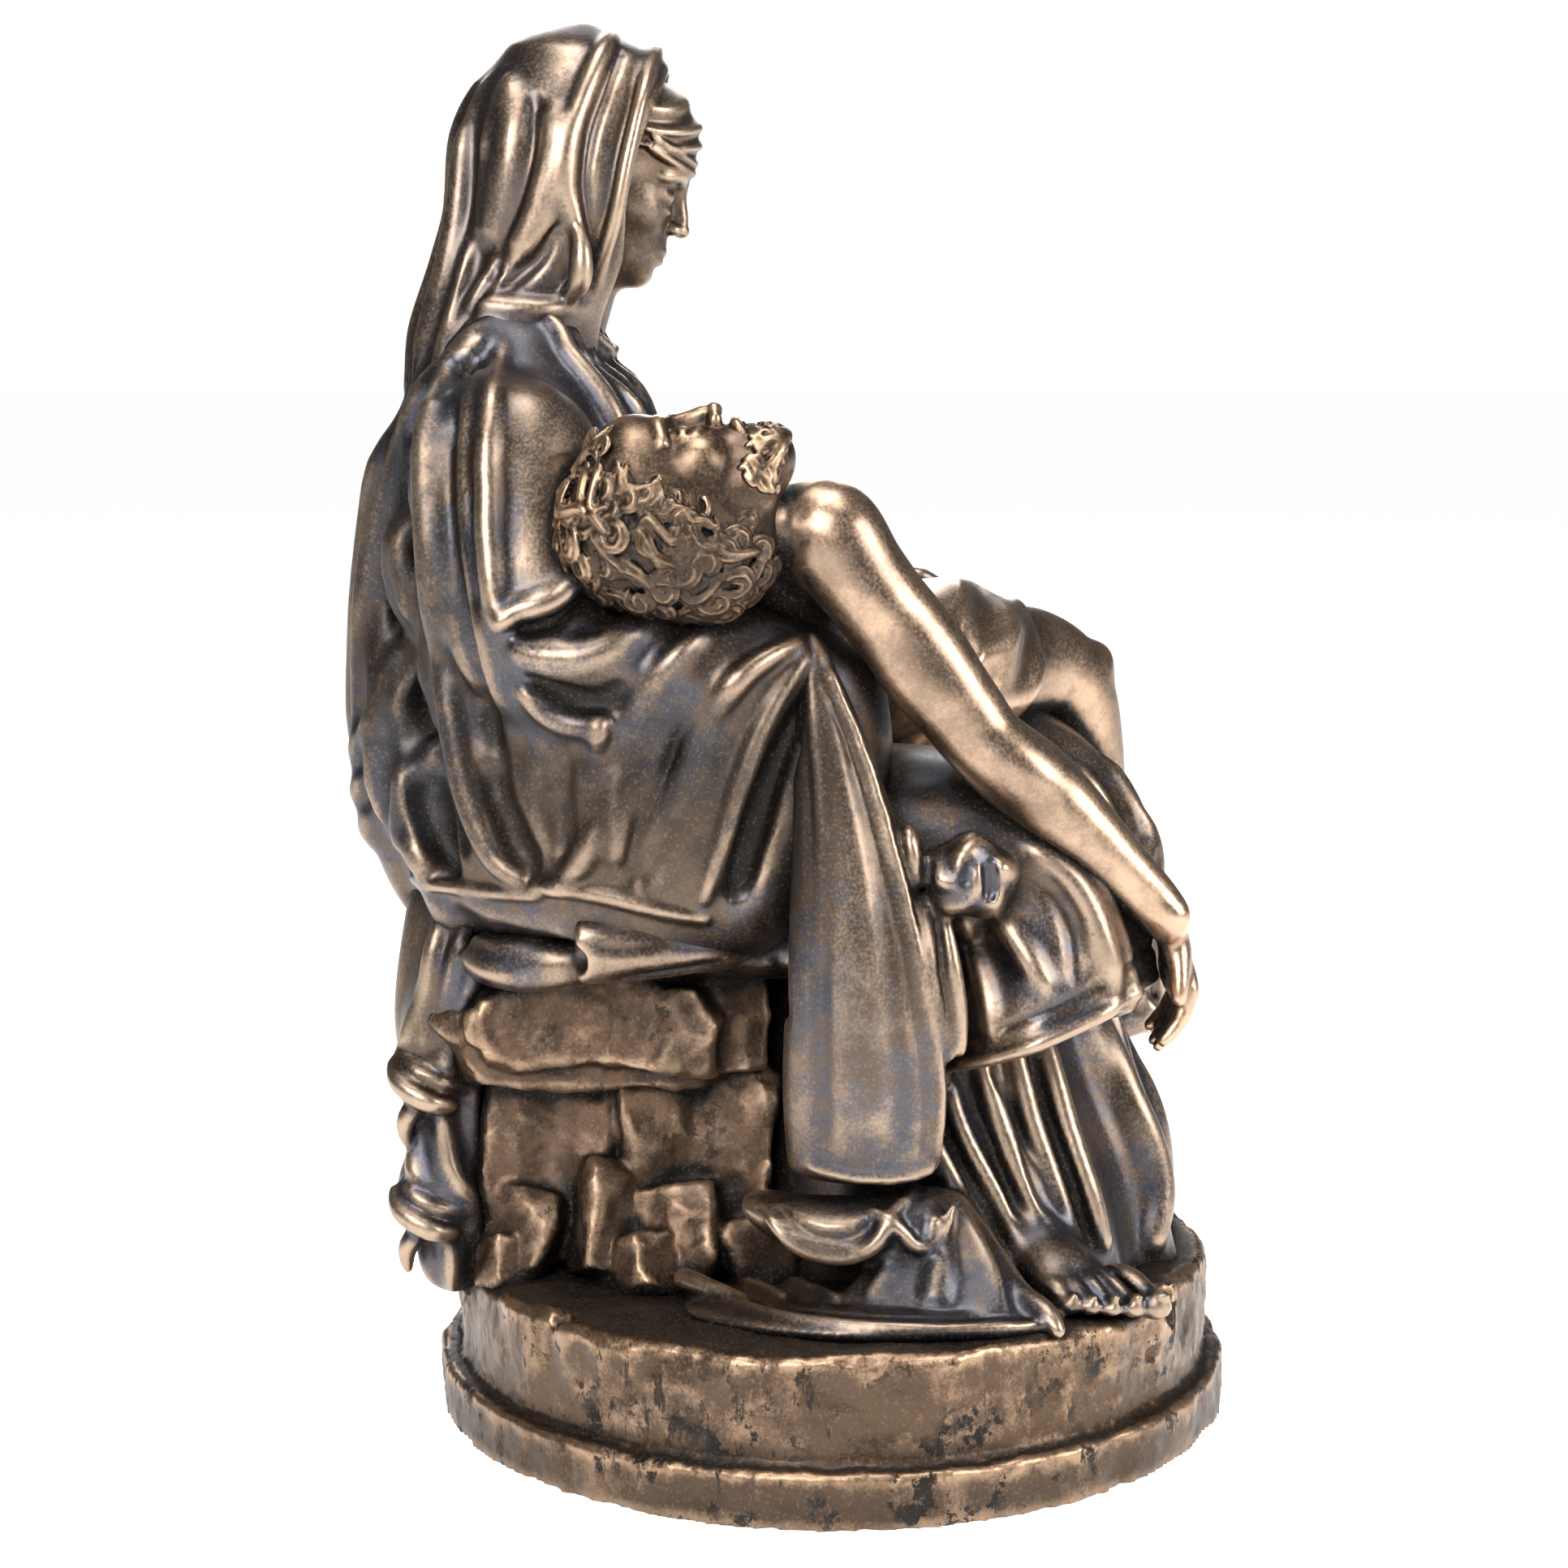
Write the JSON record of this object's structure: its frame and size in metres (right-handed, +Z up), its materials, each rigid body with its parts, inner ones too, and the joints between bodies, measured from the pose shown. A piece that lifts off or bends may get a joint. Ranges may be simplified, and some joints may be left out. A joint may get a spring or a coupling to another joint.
{
  "type": "pieta statuette",
  "caption": "Cast statuette of a seated veiled woman with a dead man laid across her lap, on a rock over a two-step oval base.",
  "frame": {"origin": "centre of the oval base's flat underside", "axes": "+Z up the statuette, the woman faces -Y, and her right hand is on the -X side"},
  "size_m": [0.1781, 0.1581, 0.2493],
  "materials": {
    "bronze_resin": "cold-cast bronze, antiqued: bright worn ridges, dark wash in the hollows"
  },
  "bodies": {
    "root": {"statuette": "bronze_resin"}
  },
  "joints": []
}
